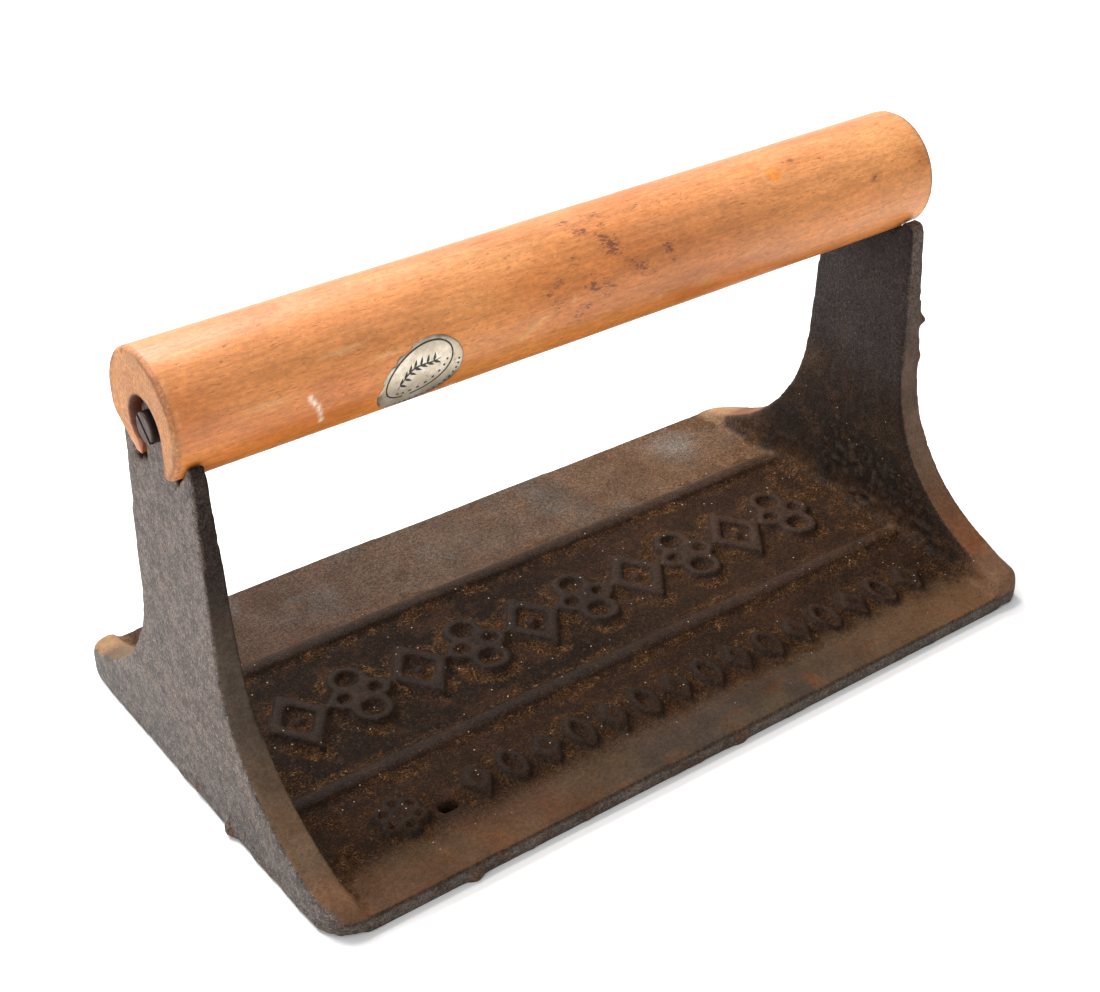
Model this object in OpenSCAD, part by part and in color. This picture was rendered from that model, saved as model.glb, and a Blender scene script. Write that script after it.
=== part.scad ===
// Hand press for patties and bacon: a cast-iron plate with an upright at each
// end, and a wooden dowel handle screwed to the two uprights.
//
// Frame: millimetres, +Z up. The origin is the centre of the flat pressing
// face, X runs along the handle and Y across the plate.

/* [Plate] */
// Length of the plate, and of the whole casting
plate_l = 226; // [210:1:250]
// Width of the plate
plate_w = 131.5; // [120:0.5:140]
// Thickness of the plate
plate_t = 4.5; // [3.5:0.1:6]
// Radius of the plate's corners, seen from above
corner_r = 10; // [6:0.5:14]
// Radius of the near right corner, which is cast squarer
near_right_r = 5.5; // [4:0.5:14]
// How much narrower the plate is at its right end, all at the far edge
far_taper = 2.4; // [0:0.2:4]

/* [Ribs and relief] */
// Width of the low rounded ribs along the plate
rib_w = 6.4; // [5:0.2:8]
// Height of the ribs above the plate
rib_h = 1.8; // [1:0.1:2.4]
// Place of the far rib across the plate, half way along it
far_rib_y = 29.3; // [27:0.1:32]
// Place of the near rib across the plate
near_rib_y = -24.2; // [-27:0.1:-20]
// Height of the cast relief above the plate
relief_h = 1.4; // [0.8:0.1:2]
// Width of the strokes in the large relief
stroke_w = 3.2; // [2.5:0.1:3.4]
// Number of large motifs between the ribs
motif_count = 10; // [6:1:10]
// Number of small motifs along the near margin
small_count = 15; // [8:1:15]

/* [Uprights] */
// Width of an upright's neck, where the sweep to the plate's corners starts
neck_w = 38.6; // [36:0.2:42]
// Width of an upright just under the handle
top_w = 33.2; // [32:0.2:36]
// Width of the sweep's quarter ellipse, on each side of the neck
sweep_w = 52.5; // [50:0.5:56]
// Height of the sweep's quarter ellipse
sweep_h = 46; // [40:0.5:50]
// Height of the feet at the plate's corners
foot_h = 8; // [7:0.5:10]
// Height of the far right foot, which is cast low
low_foot_h = 5; // [4.5:0.5:10]
// Thickness of the left upright at the height of the screw
left_upright_t = 3.6; // [3.2:0.1:6]
// Thickness of the right upright at the height of the screw
right_upright_t = 4.3; // [3.2:0.1:6]
// How much thicker both uprights are at the plate
upright_taper = 5.2; // [3:0.2:7]
// Height of the left shoulder beside the handle
left_shoulder_z = 101.5; // [97:0.5:103]
// Height of the right shoulder, which is cast a little lower
right_shoulder_z = 98; // [97:0.5:103]

/* [Handle] */
// Diameter of the dowel
handle_d = 32; // [30:0.5:33]
// Length of the dowel, over both ends
handle_l = 227; // [226.5:0.5:232]
// Height of the dowel's axis
handle_z = 108.15; // [107.5:0.05:110]
// Rounding of the dowel's two end rims
end_r = 1; // [0.5:0.1:3]
// Width of the slot in each end of the dowel
slot_w = 15; // [14:0.5:16]

/* [Screws and label] */
// Diameter of a screw's thread
screw_d = 4.2; // [3.8:0.1:4.6]
// Diameter of a screw's head
head_d = 7.6; // [6.5:0.1:8]
// Length of a screw under its head
screw_l = 25; // [19:1:32]
// Length of the oval label
label_l = 23.8; // [18:0.1:26]
// Height of the oval label, measured round the dowel
label_h = 18; // [14:0.5:20]

/* [Hidden] */
$fn = 64;

handle_r = handle_d / 2;
// The outer faces lean in by this much for each millimetre of height
draft = 0.0186;
neck_z = foot_h + sweep_h;
foot_r = 3.5;
shoulder_r = 2;
fillet_r = 3.5;
// Running room between the dowel and the iron round it
seat_gap = 0.3;

// The tongue that stands in the dowel's slot and carries the screw
tongue_w = 11;
tongue_base_w = slot_w - 1;
tongue_base_z = 99;
tongue_z = handle_z - 2.25;
screw_z = handle_z - 2.65;
tongue_root_z = handle_z - handle_r - 2;
// The slots are sawn this far off the middle, and the grooves run under them
slot_y = -1.4;
screw_y = -0.7;
groove_r = 1.6;
grooves = [[-8.5, 95], [9.8, 93.3]];

// Outer face of an upright at the screw, as a distance from the middle
outer_x = plate_l / 2 - draft * screw_z;
slot_depth = handle_l / 2 - outer_x + max(left_upright_t, right_upright_t) + 1;

head_h = handle_l / 2 - outer_x;
pilot_gap = 0.05;
rim_r = 0.4;
driver_w = 1.1;
driver_depth = 1;
thread_pitch = 1.8;
thread_depth = 0.6;

// The far rib and the rows of relief run parallel to the far edge
far_turn = -atan(far_taper / (plate_l - 2 * corner_r));
motif_y = 2;
motif_pitch = 18.2;
motif_w = 17.8;
motif_l = 25;
rosette_x = -80;
rosette_d = 14;
small_y = -43.7;
small_x = -58;
small_pitch = 10.4;
small_w = 8.6;
small_l = 13;
small_stroke = 2;

label_x = -51.5;
label_angle = 14.3;
label_tilt = 24;
label_t = 0.15;

iron = [0.30, 0.25, 0.22];
beech = [0.85, 0.56, 0.31];
old_steel = [0.38, 0.34, 0.31];
foil = [0.80, 0.79, 0.75];

// ---- the casting ----

module plan_outline() {
    x = plate_l / 2;
    y = plate_w / 2;
    difference() {
        polygon([[-x, -y], [x, -y], [x, y - far_taper], [x - corner_r, y - far_taper],
                 [corner_r - x, y], [-x, y]]);
        corner_waste(x, y - far_taper, corner_r);
        corner_waste(-x, y, corner_r, 90);
        corner_waste(-x, -y, corner_r, 180);
        corner_waste(x, -y, near_right_r, 270);
    }
}

// What is cut from a square corner at [x, y] to round it. Angle 0 is for a
// corner on the +X and +Y sides, and the others follow anticlockwise.
module corner_waste(x, y, r, angle = 0) {
    translate([x, y])
        rotate(angle)
            translate([-r, -r])
                difference() {
                    square([r + 1, r + 1]);
                    circle(r = r);
                }
}

// Point on the sweep: a = 0 is at the neck, and a = 90 is level with the foot
function sweep(a, foot_z) =
    [neck_w / 2 + sweep_w * (1 - cos(a)), neck_z - (neck_z - foot_z) * sin(a)];

// Half of an upright seen along X: a neck that sweeps out to the plate's width
module half_outline(shoulder_z, foot_z) {
    last_a = acos(1 - (plate_w - neck_w) / (2 * sweep_w));
    steps = 24;
    foot = sweep(last_a, foot_z);
    difference() {
        polygon(concat(
            [[0, 0], [0, shoulder_z], [top_w / 2, shoulder_z]],
            [for (i = [0 : steps]) sweep(last_a * i / steps, foot_z)],
            [[plate_w / 2, 0]]));
        corner_waste(foot[0], foot[1], foot_r);
        corner_waste(top_w / 2, shoulder_z, shoulder_r);
    }
}

module upright_outline(shoulder_z, far_foot_z) {
    half_outline(shoulder_z, far_foot_z);
    mirror([1, 0])
        half_outline(shoulder_z, foot_h);
}

// An upright seen along Y: tapered, with a fillet where it meets the plate
module upright_section(t, top) {
    base_x = plate_l / 2 - t - upright_taper;
    polygon([[base_x, 0], [plate_l / 2, 0], [plate_l / 2 - draft * top, top],
             [outer_x - t, top]]);
    difference() {
        translate([base_x - fillet_r, 0])
            square([fillet_r + 1, plate_t + fillet_r]);
        translate([base_x - fillet_r, plate_t + fillet_r])
            circle(r = fillet_r);
    }
}

// Everything of an upright above the cradle: a round-topped tongue
module tongue_outline() {
    translate([0, tongue_z])
        circle(d = tongue_w);
    translate([-tongue_w / 2, tongue_root_z])
        square([tongue_w, tongue_z - tongue_root_z]);
    translate([slot_y - tongue_base_w / 2, tongue_root_z])
        square([tongue_base_w, tongue_base_z - tongue_root_z]);
}

module cradle_outline(shoulder_z, far_foot_z) {
    difference() {
        upright_outline(shoulder_z, far_foot_z);
        translate([0, handle_z])
            circle(r = handle_r + seat_gap);
        for (place = grooves)
            translate(place)
                circle(r = groove_r);
    }
    tongue_outline();
}

// The right-hand upright, kept inside the child outline; the left one is a
// mirror image
module upright(shoulder_z, far_foot_z, t) {
    top = tongue_z + tongue_w / 2;
    difference() {
        intersection() {
            rotate([90, 0, 90])
                linear_extrude(plate_l)
                    cradle_outline(shoulder_z, far_foot_z);
            translate([0, plate_w, 0])
                rotate([90, 0, 0])
                    linear_extrude(2 * plate_w)
                        upright_section(t, top);
            linear_extrude(top)
                children();
        }
        translate([outer_x - 2 * t, screw_y, screw_z])
            rotate([0, 90, 0])
                cylinder(d = screw_d + 0.4, h = 3 * t);
    }
}

// A low bead along the plate, let into the uprights
module rib(y, turn = 0) {
    rib_r = (rib_w * rib_w / 4 + rib_h * rib_h) / (2 * rib_h);
    translate([0, y, plate_t])
        rotate([90, 0, 90 + turn])
            linear_extrude(2 * outer_x - 2, center = true)
                intersection() {
                    translate([0, rib_h - rib_r])
                        circle(r = rib_r);
                    translate([-rib_w, -plate_t / 2])
                        square([2 * rib_w, plate_t]);
                }
}

// A dome standing on the plate
module pellet(d, h) {
    sphere_r = (d * d / 4 + h * h) / (2 * h);
    intersection() {
        translate([0, 0, h - sphere_r])
            sphere(r = sphere_r);
        translate([0, 0, -plate_t / 2])
            cylinder(d = d, h = h + plate_t);
    }
}

// A lozenge frame, longer across the plate, about a pellet
module lozenge(w, l, stroke) {
    inner = 1 - 2 * stroke * sqrt(1 / (w * w) + 1 / (l * l));
    linear_extrude(relief_h)
        difference() {
            lozenge_outline(w, l);
            lozenge_outline(inner * w, inner * l);
        }
    pellet(w / 4, relief_h);
}

module lozenge_outline(w, l) {
    polygon([[w / 2, 0], [0, l / 2], [-w / 2, 0], [0, -l / 2]]);
}

// A frame shaped like a pointed leaf
module leaf(w, l, stroke) {
    leaf_r = (w * w + l * l) / (4 * w);
    linear_extrude(relief_h)
        difference() {
            leaf_outline(leaf_r - w / 2, leaf_r);
            leaf_outline(leaf_r - w / 2, leaf_r - stroke);
        }
}

// What two discs share, each off the middle by this much
module leaf_outline(off, r) {
    intersection() {
        translate([off, 0])
            circle(r = r);
        translate([-off, 0])
            circle(r = r);
    }
}

// Four round loops, the two across the plate being the larger
module quatrefoil(w, l, stroke) {
    linear_extrude(relief_h)
        difference() {
            loop_discs(w, l, 0);
            loop_discs(w, l, stroke);
        }
    pellet(w / 4, relief_h);
}

module loop_discs(w, l, stroke) {
    for (side = [-1, 1]) {
        translate([0.26 * side * w, 0])
            circle(r = 0.24 * w - stroke);
        translate([0, 0.28 * side * l])
            circle(r = 0.22 * l - stroke);
    }
}

// A ring of six round petals about a pellet; neighbours overlap by a tenth
module rosette(d, stroke) {
    petal_r = 1.1 * d / 6;
    linear_extrude(relief_h)
        difference() {
            petal_discs(d, petal_r, petal_r);
            petal_discs(d, petal_r, petal_r - stroke);
        }
    pellet(d / 4, relief_h);
}

module petal_discs(d, petal_r, r) {
    for (i = [0 : 5])
        rotate((i + 0.5) * 60)
            translate([d / 2 - petal_r, 0])
                circle(r = r);
}

module relief() {
    translate([0, motif_y, plate_t])
        rotate(far_turn)
            for (i = [0 : motif_count - 1])
                translate([(i - (motif_count - 1) / 2) * motif_pitch, 0])
                    if (i % 2 == 0)
                        lozenge(motif_w, motif_l, stroke_w);
                    else
                        quatrefoil(motif_w, motif_l, 0.75 * stroke_w);
    translate([0, small_y, plate_t])
        rotate(far_turn) {
            translate([rosette_x, 0])
                rosette(rosette_d, 0.7 * small_stroke);
            for (i = [0 : small_count - 1])
                translate([small_x + i * small_pitch, 0])
                    if (i % 2 == 0)
                        lozenge(small_w, small_l, small_stroke);
                    else
                        leaf(small_w - 1, small_l, small_stroke);
        }
}

module press_casting() {
    color(iron) {
        linear_extrude(plate_t)
            plan_outline();
        upright(right_shoulder_z, low_foot_h, right_upright_t)
            plan_outline();
        mirror([1, 0, 0])
            upright(left_shoulder_z, foot_h, left_upright_t)
                mirror([1, 0])
                    plan_outline();
        rib(far_rib_y, far_turn);
        rib(near_rib_y);
        relief();
    }
}

// ---- the handle ----

// Half of the dowel's long section, with rounded rims
module dowel_profile() {
    square([handle_r - end_r, handle_l]);
    translate([0, end_r])
        square([handle_r, handle_l - 2 * end_r]);
    for (z = [end_r, handle_l - end_r])
        translate([handle_r - end_r, z])
            circle(r = end_r);
}

// Slot and pilot hole in the right-hand end
module end_cut() {
    translate([handle_l / 2 - slot_depth, 0, 0])
        rotate([90, 0, 90])
            linear_extrude(slot_depth + 1) {
                translate([slot_y, tongue_z])
                    circle(d = slot_w);
                translate([slot_y - slot_w / 2, tongue_z - handle_r])
                    square([slot_w, handle_r]);
            }
    hole_r = screw_d / 2 + pilot_gap;
    tip = outer_x - screw_l - 1;
    translate([tip, screw_y, screw_z])
        rotate([0, 90, 0])
            cylinder(r = hole_r, h = screw_l);
    translate([tip - hole_r, screw_y, screw_z])
        rotate([0, 90, 0])
            cylinder(r1 = 0, r2 = hole_r, h = hole_r);
}

module handle() {
    color(beech)
        difference() {
            translate([-handle_l / 2, 0, handle_z])
                rotate([0, 90, 0])
                    rotate_extrude()
                        dowel_profile();
            end_cut();
            mirror([1, 0, 0])
                end_cut();
        }
}

// ---- the screws ----

// Half section of a cheese-head wood screw, head at the top. The thread is
// drawn as closed rings, each a little longer than the last one's root.
module screw_profile() {
    r = screw_d / 2;
    root = r - thread_depth;
    turns = floor(screw_l * 0.6 / thread_pitch);
    tip_h = 2 * r;
    polygon(concat(
        [[0, -screw_l], [root, -screw_l + tip_h]],
        [for (i = [0 : turns - 1], step = [0 : 1])
            let (z = -screw_l + tip_h + (i + 0.25 + step * 0.25) * thread_pitch)
                [step == 0 ? root : r, z]],
        [[r, 0], [0, 0]]));
    square([head_d / 2 - rim_r, head_h]);
    square([head_d / 2, head_h - rim_r]);
    translate([head_d / 2 - rim_r, head_h - rim_r])
        circle(r = rim_r);
}

module screw(driver_angle) {
    translate([outer_x, screw_y, screw_z])
        rotate([0, 90, 0])
            difference() {
                rotate_extrude()
                    screw_profile();
                rotate(driver_angle)
                    translate([-head_d, -driver_w / 2, head_h - driver_depth])
                        cube([2 * head_d, driver_w, driver_depth + 1]);
            }
}

module right_screw() {
    color(old_steel)
        screw(20);
}

module left_screw() {
    color(old_steel)
        mirror([1, 0, 0])
            screw(-45);
}

// ---- the label ----

// An oval laid round the dowel, as it looks from straight in front of it
function wrapped_oval(a) =
    let (u = label_l / 2 * cos(a), v = label_h / 2 * sin(a))
    let (along = u * cos(label_tilt) - v * sin(label_tilt),
         round_dowel = u * sin(label_tilt) + v * cos(label_tilt))
    [along, handle_r * sin(round_dowel / handle_r * 180 / PI)];

module label() {
    color(foil)
        translate([label_x, 0, handle_z])
            rotate([label_angle, 0, 0])
                intersection() {
                    rotate([0, 90, 0])
                        difference() {
                            cylinder(r = handle_r + label_t, h = 2 * label_l, center = true);
                            cylinder(r = handle_r, h = 3 * label_l, center = true);
                        }
                    rotate([90, 0, 0])
                        linear_extrude(handle_d)
                            polygon([for (a = [0 : 10 : 350]) wrapped_oval(a)]);
                }
}

press_casting();
handle();
left_screw();
right_screw();
label();
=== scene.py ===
import math
from itertools import product

import bmesh
import bpy
import numpy as np
from mathutils import Matrix, Vector


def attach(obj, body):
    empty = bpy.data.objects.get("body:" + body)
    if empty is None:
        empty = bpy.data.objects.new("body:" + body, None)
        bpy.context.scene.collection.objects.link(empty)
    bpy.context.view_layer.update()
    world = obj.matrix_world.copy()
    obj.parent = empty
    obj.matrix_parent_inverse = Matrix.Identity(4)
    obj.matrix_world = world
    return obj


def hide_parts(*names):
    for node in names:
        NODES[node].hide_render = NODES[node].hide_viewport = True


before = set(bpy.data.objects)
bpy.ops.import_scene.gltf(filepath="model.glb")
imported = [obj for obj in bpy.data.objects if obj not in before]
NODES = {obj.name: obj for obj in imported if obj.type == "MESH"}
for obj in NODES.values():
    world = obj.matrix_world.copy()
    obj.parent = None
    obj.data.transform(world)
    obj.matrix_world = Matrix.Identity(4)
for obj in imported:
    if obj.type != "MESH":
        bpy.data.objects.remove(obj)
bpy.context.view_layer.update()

MM = 0.001  # a millimetre, in metres


# ---------------------------------------------------------------- arrays, in millimetres

def chance(ix, iy, iz, seed):
    """A fixed pseudo-random number from 0 to 1 for each lattice point."""
    # three large primes scatter the lattice, and one more the seeds
    h = (ix * 73856093) ^ (iy * 19349663) ^ (iz * 83492791) ^ (seed * 2654435761)
    h = h & 0xFFFFFFFF
    for shift, factor in ((15, 0x2C1B3C6D), (12, 0x297A2D39)):
        h = ((h ^ (h >> shift)) * factor) & 0xFFFFFFFF
    return (h ^ (h >> 15)) / 0xFFFFFFFF


def lumps(p, size, seed):
    """Smooth noise from -1 to 1 whose lumps are about one size across."""
    q = np.asarray(p, float) / size + 500
    cell = np.floor(q).astype(np.int64)
    f = q - cell
    f = f * f * (3 - 2 * f)
    total = np.zeros(len(q))
    for corner in product((0, 1), repeat=3):
        weight = np.prod([f[:, k] if corner[k] else 1 - f[:, k] for k in range(3)], axis=0)
        total += weight * chance(*(cell[:, k] + corner[k] for k in range(3)), seed)
    return 2 * total - 1


def rough(p, size, seed, octaves=3):
    """Lumps with smaller and shallower ones on them."""
    return sum(lumps(p, size / 2 ** k, seed + 7 * k) / 2 ** k for k in range(octaves))


def step(x, low, high):
    """0 below low and 1 above high, smoothly; low may be the larger one."""
    t = np.clip((x - low) / (high - low), 0, 1)
    return t * t * (3 - 2 * t)


def blob(p, centre, radii):
    """1 at a centre, falling to 0 at about twice the radii."""
    d = (p - np.array(centre)) / np.array(radii)
    return np.exp(-np.sum(d * d, axis=1))


def linear(*srgb):
    """A colour given as 8-bit sRGB, as linear values."""
    c = np.array(srgb) / 255
    return np.where(c < 0.04045, c / 12.92, ((c + 0.055) / 1.055) ** 2.4)


def coords(mesh):
    co = np.empty(3 * len(mesh.vertices))
    mesh.vertices.foreach_get("co", co)
    return co.reshape(-1, 3) / MM


def set_coords(mesh, co):
    mesh.vertices.foreach_set("co", (co * MM).ravel())
    mesh.update()


def normals(mesh):
    n = np.empty(3 * len(mesh.vertices))
    mesh.vertices.foreach_get("normal", n)
    return n.reshape(-1, 3)


def edge_pairs(mesh):
    e = np.empty(2 * len(mesh.edges), np.int64)
    mesh.edges.foreach_get("vertices", e)
    return e.reshape(-1, 2)


def relaxed(values, edges, rounds, pull=0.5):
    """Each vertex drawn towards the mean of its neighbours, a number of times."""
    a, b = edges.T
    size = len(values)
    count = np.maximum(np.bincount(edges.ravel(), minlength=size), 1)[:, None]
    for _ in range(rounds):
        near = np.stack([np.bincount(a, column[b], size) + np.bincount(b, column[a], size)
                         for column in values.T], 1)
        values = values + pull * (near / count - values)
    return values


def set_colour(mesh, name, rgb):
    layer = mesh.attributes.new(name, "FLOAT_COLOR", "POINT")
    rgba = np.concatenate([np.clip(rgb, 0, 1), np.ones((len(rgb), 1))], 1)
    layer.data.foreach_set("color", rgba.astype(np.float32).ravel())


def set_mask(mesh, name, value):
    layer = mesh.attributes.new(name, "FLOAT", "POINT")
    layer.data.foreach_set("value", np.clip(value, 0, 1).astype(np.float32))


def over(colour, mask, rgb):
    """Paints a colour over an array of colours where the mask is 1."""
    return colour + mask[:, None] * (np.asarray(rgb) - colour)


# ---------------------------------------------------------------- objects

def add(name, mesh, material=None):
    piece = bpy.data.objects.new(name, mesh)
    bpy.context.scene.collection.objects.link(piece)
    if material:
        mesh.materials.append(material)
    return piece


def voxel_copy(node, name, voxel):
    """A copy of a CAD node's shape as one even skin of small squares."""
    mesh = NODES[node].data.copy()
    mesh.materials.clear()
    bm = bmesh.new()
    bm.from_mesh(mesh)
    bmesh.ops.remove_doubles(bm, verts=bm.verts, dist=1e-6)
    bm.to_mesh(mesh)
    bm.free()
    piece = add(name, mesh)
    skin = piece.modifiers.new("skin", "REMESH")
    skin.mode = "VOXEL"
    skin.voxel_size = voxel * MM
    skin.use_smooth_shade = True
    depsgraph = bpy.context.evaluated_depsgraph_get()
    even = bpy.data.meshes.new_from_object(piece.evaluated_get(depsgraph))
    piece.modifiers.clear()
    piece.data = even
    bpy.data.meshes.remove(mesh)
    even.name = name
    return piece


def mesh_from(name, vertices, faces):
    mesh = bpy.data.meshes.new(name)
    mesh.from_pydata([tuple(v) for v in np.asarray(vertices) * MM], [], faces)
    mesh.polygons.foreach_set("use_smooth", [True] * len(mesh.polygons))
    mesh.update()
    return mesh


# ---------------------------------------------------------------- materials

class Paint:
    """A material's nodes. A call adds a node or two and gives back the last one's output."""

    def __init__(self, name):
        self.material = bpy.data.materials.new(name)
        self.material.use_nodes = True
        self.tree = self.material.node_tree
        self.tree.nodes.clear()
        self.shader = self.tree.nodes.new("ShaderNodeBsdfPrincipled")
        output = self.tree.nodes.new("ShaderNodeOutputMaterial")
        self.tree.links.new(self.shader.outputs[0], output.inputs[0])
        place = self.tree.nodes.new("ShaderNodeTexCoord").outputs["Object"]
        self.mm = self.stretched((1 / MM, 1 / MM, 1 / MM), place)

    def put(self, socket, value):
        if isinstance(value, bpy.types.NodeSocket):
            self.tree.links.new(value, socket)
        elif isinstance(value, (tuple, list, np.ndarray)) and socket.type == "RGBA":
            socket.default_value = (*value[:3], 1)
        else:
            socket.default_value = value

    def node(self, kind, settings, inputs, output=0):
        n = self.tree.nodes.new("ShaderNode" + kind)
        for key, value in settings.items():
            setattr(n, key, value)
        for key, value in inputs.items():
            self.put(n.inputs[key], value)
        return n.outputs[output]

    def stretched(self, factors, vector=None, shift=(0, 0, 0)):
        scaled = self.node("VectorMath", {"operation": "MULTIPLY"},
                           {0: vector or self.mm, 1: factors})
        if any(shift):
            scaled = self.node("VectorMath", {"operation": "ADD"}, {0: scaled, 1: shift})
        return scaled

    def attribute(self, name, output="Fac"):
        return self.node("Attribute", {"attribute_name": name}, {}, output)

    def noise(self, size, detail=3, roughness=0.55, warp=0, vector=None):
        """Noise from 0 to 1 whose features are about size millimetres across."""
        return self.node("TexNoise", {}, {"Vector": vector or self.mm, "Scale": 1 / size,
                                          "Detail": detail, "Roughness": roughness,
                                          "Distortion": warp})

    def dots(self, size, output="Distance", vector=None):
        return self.node("TexVoronoi", {}, {"Vector": vector or self.mm, "Scale": 1 / size}, output)

    def ramp(self, value, low, high, to_low=0.0, to_high=1.0):
        """Goes smoothly from one value to another as its input goes from low to high."""
        return self.node("MapRange", {"interpolation_type": "SMOOTHSTEP"},
                         {"Value": value, "From Min": low, "From Max": high,
                          "To Min": to_low, "To Max": to_high})

    def math(self, operation, a, b=0.0):
        return self.node("Math", {"operation": operation}, {0: a, 1: b})

    def mix(self, factor, a, b, blend="MIX"):
        return self.node("Mix", {"data_type": "RGBA", "blend_type": blend},
                         {0: factor, 6: a, 7: b}, 2)

    def gain(self, colour, factor):
        return self.node("VectorMath", {"operation": "SCALE"}, {0: colour, "Scale": factor})

    def bump(self, height, depth, strength=1.0, under=None):
        inputs = {"Height": height, "Distance": depth * MM, "Strength": strength}
        if under:
            inputs["Normal"] = under
        return self.node("Bump", {}, inputs)

    def finish(self, **inputs):
        for key, value in inputs.items():
            self.put(self.shader.inputs[key.replace("_", " ")], value)
        return self.material


def rusted_iron():
    m = Paint("rusted_cast_iron")
    tint = m.attribute("tint", "Color")
    dust = m.attribute("dust")
    bare = m.attribute("bare")
    patches = m.noise(8, 5, 0.6)
    mottle = m.noise(1.1, 4, 0.7)
    grain = m.noise(0.4, 2, 0.65)
    fine = m.math("MULTIPLY", m.ramp(mottle, 0.34, 0.66, -0.3, 0.3),
                  m.ramp(m.attribute("worn"), 0.0, 1.0, 1.0, 0.5))
    finest = m.math("MULTIPLY", m.ramp(grain, 0.34, 0.66, -0.45, 0.45),
                    m.ramp(m.attribute("worn"), 0.0, 1.0, 1.0, 0.25))
    spread = m.math("MULTIPLY", m.ramp(m.noise(2.7, 4, 0.65), 0.38, 0.62, -0.4, 0.28), bare)
    level = m.math("MULTIPLY", m.ramp(patches, 0.3, 0.7, 0.84, 1.16),
                   m.math("MULTIPLY", m.math("ADD", 1.0, m.math("ADD", fine, spread)),
                          m.math("ADD", 1.0, finest)))
    colour = m.gain(tint, level)
    # brown bloom over bare metal, and small dark pits in it
    bloom = m.ramp(m.noise(9, 5, 0.7, vector=m.stretched((1, 1, 1), shift=(40, 7, 3))), 0.5, 0.68)
    colour = m.mix(m.math("MULTIPLY", bloom, 0.4), colour,
                   m.mix(1.0, colour, (1.18, 0.88, 0.66), "MULTIPLY"))
    pits = m.ramp(m.noise(1.25, 4, 0.65), 0.37, 0.44, 1.0, 0.0)
    colour = m.mix(m.math("MULTIPLY", pits, m.math("MULTIPLY", bare, 0.72)), colour,
                   linear(26, 21, 18))
    pale = m.ramp(m.noise(0.6, 3, 0.65, vector=m.stretched((1, 1, 0.8), shift=(9, 3, 1))), 0.56, 0.66)
    colour = m.mix(m.math("MULTIPLY", pale, m.math("MULTIPLY", bare, 0.55)), colour,
                   linear(144, 137, 131))
    # rust-brown grit with fibres and pale crumbs where dust has settled
    grit = m.ramp(m.noise(0.8, 4, 0.75), 0.44, 0.66)
    colour = m.mix(m.math("MULTIPLY", grit, m.math("MULTIPLY", dust, 0.75)), colour,
                   linear(84, 57, 35))
    flecks = m.ramp(m.noise(0.62, 3, 0.7, vector=m.stretched((1, 1, 1), shift=(17, 5, 2))), 0.545, 0.65)
    colour = m.mix(m.math("MULTIPLY", flecks, m.ramp(dust, 0.04, 0.34, 0.0, 0.8)), colour,
                   linear(94, 66, 43))
    for size, shift, tone in ((2.6, (3, 11, 5), (128, 92, 56)), (1.7, (31, 2, 9), (98, 66, 38))):
        field = m.noise(size, 2, 0.5, 1.6, m.stretched((1, 1, 1), shift=shift))
        line = m.ramp(m.math("ABSOLUTE", m.math("SUBTRACT", field, 0.5)), 0.006, 0.02, 1.0, 0.0)
        part = m.ramp(m.noise(3.4, 2, 0.5, 0, m.stretched((1, 1, 1), shift=shift)), 0.5, 0.58)
        line = m.math("MULTIPLY", m.math("MULTIPLY", line, part), m.ramp(dust, 0.03, 0.5, 0.0, 0.9))
        colour = m.mix(line, colour, linear(*tone))
    spot = m.ramp(m.dots(1.9), 0.07, 0.13, 1.0, 0.0)
    kind = m.node("SeparateColor", {}, {0: m.dots(1.9, "Color")})
    spot = m.math("MULTIPLY", spot, m.ramp(kind, 0.72, 0.8))
    colour = m.mix(m.math("MULTIPLY", spot, m.ramp(dust, 0.0, 0.14, 0.0, 0.8)), colour,
                   m.mix(m.ramp(kind, 0.84, 0.87), linear(112, 56, 28), linear(190, 170, 144)))
    height = m.math("ADD", m.math("MULTIPLY", mottle, 0.5),
                    m.math("ADD", m.math("MULTIPLY", grain, 0.5),
                           m.math("MULTIPLY", m.math("MULTIPLY", grit, dust), 0.8)))
    shine = m.math("SUBTRACT", m.math("ADD", 0.58, m.math("MULTIPLY", dust, 0.3)),
                   m.math("MULTIPLY", m.attribute("rubbed"), 0.06))
    shine = m.math("MULTIPLY", m.ramp(mottle, 0.3, 0.7, 0.92, 1.1), shine)
    gleam = m.math("ADD", m.math("MULTIPLY", m.attribute("rubbed"), 0.03),
                   m.math("MULTIPLY", bare, 0.16))
    return m.finish(Base_Color=colour, Roughness=shine, Normal=m.bump(height, 0.34, 1.0),
                    Specular_IOR_Level=m.math("ADD", gleam, 0.04))


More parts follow.
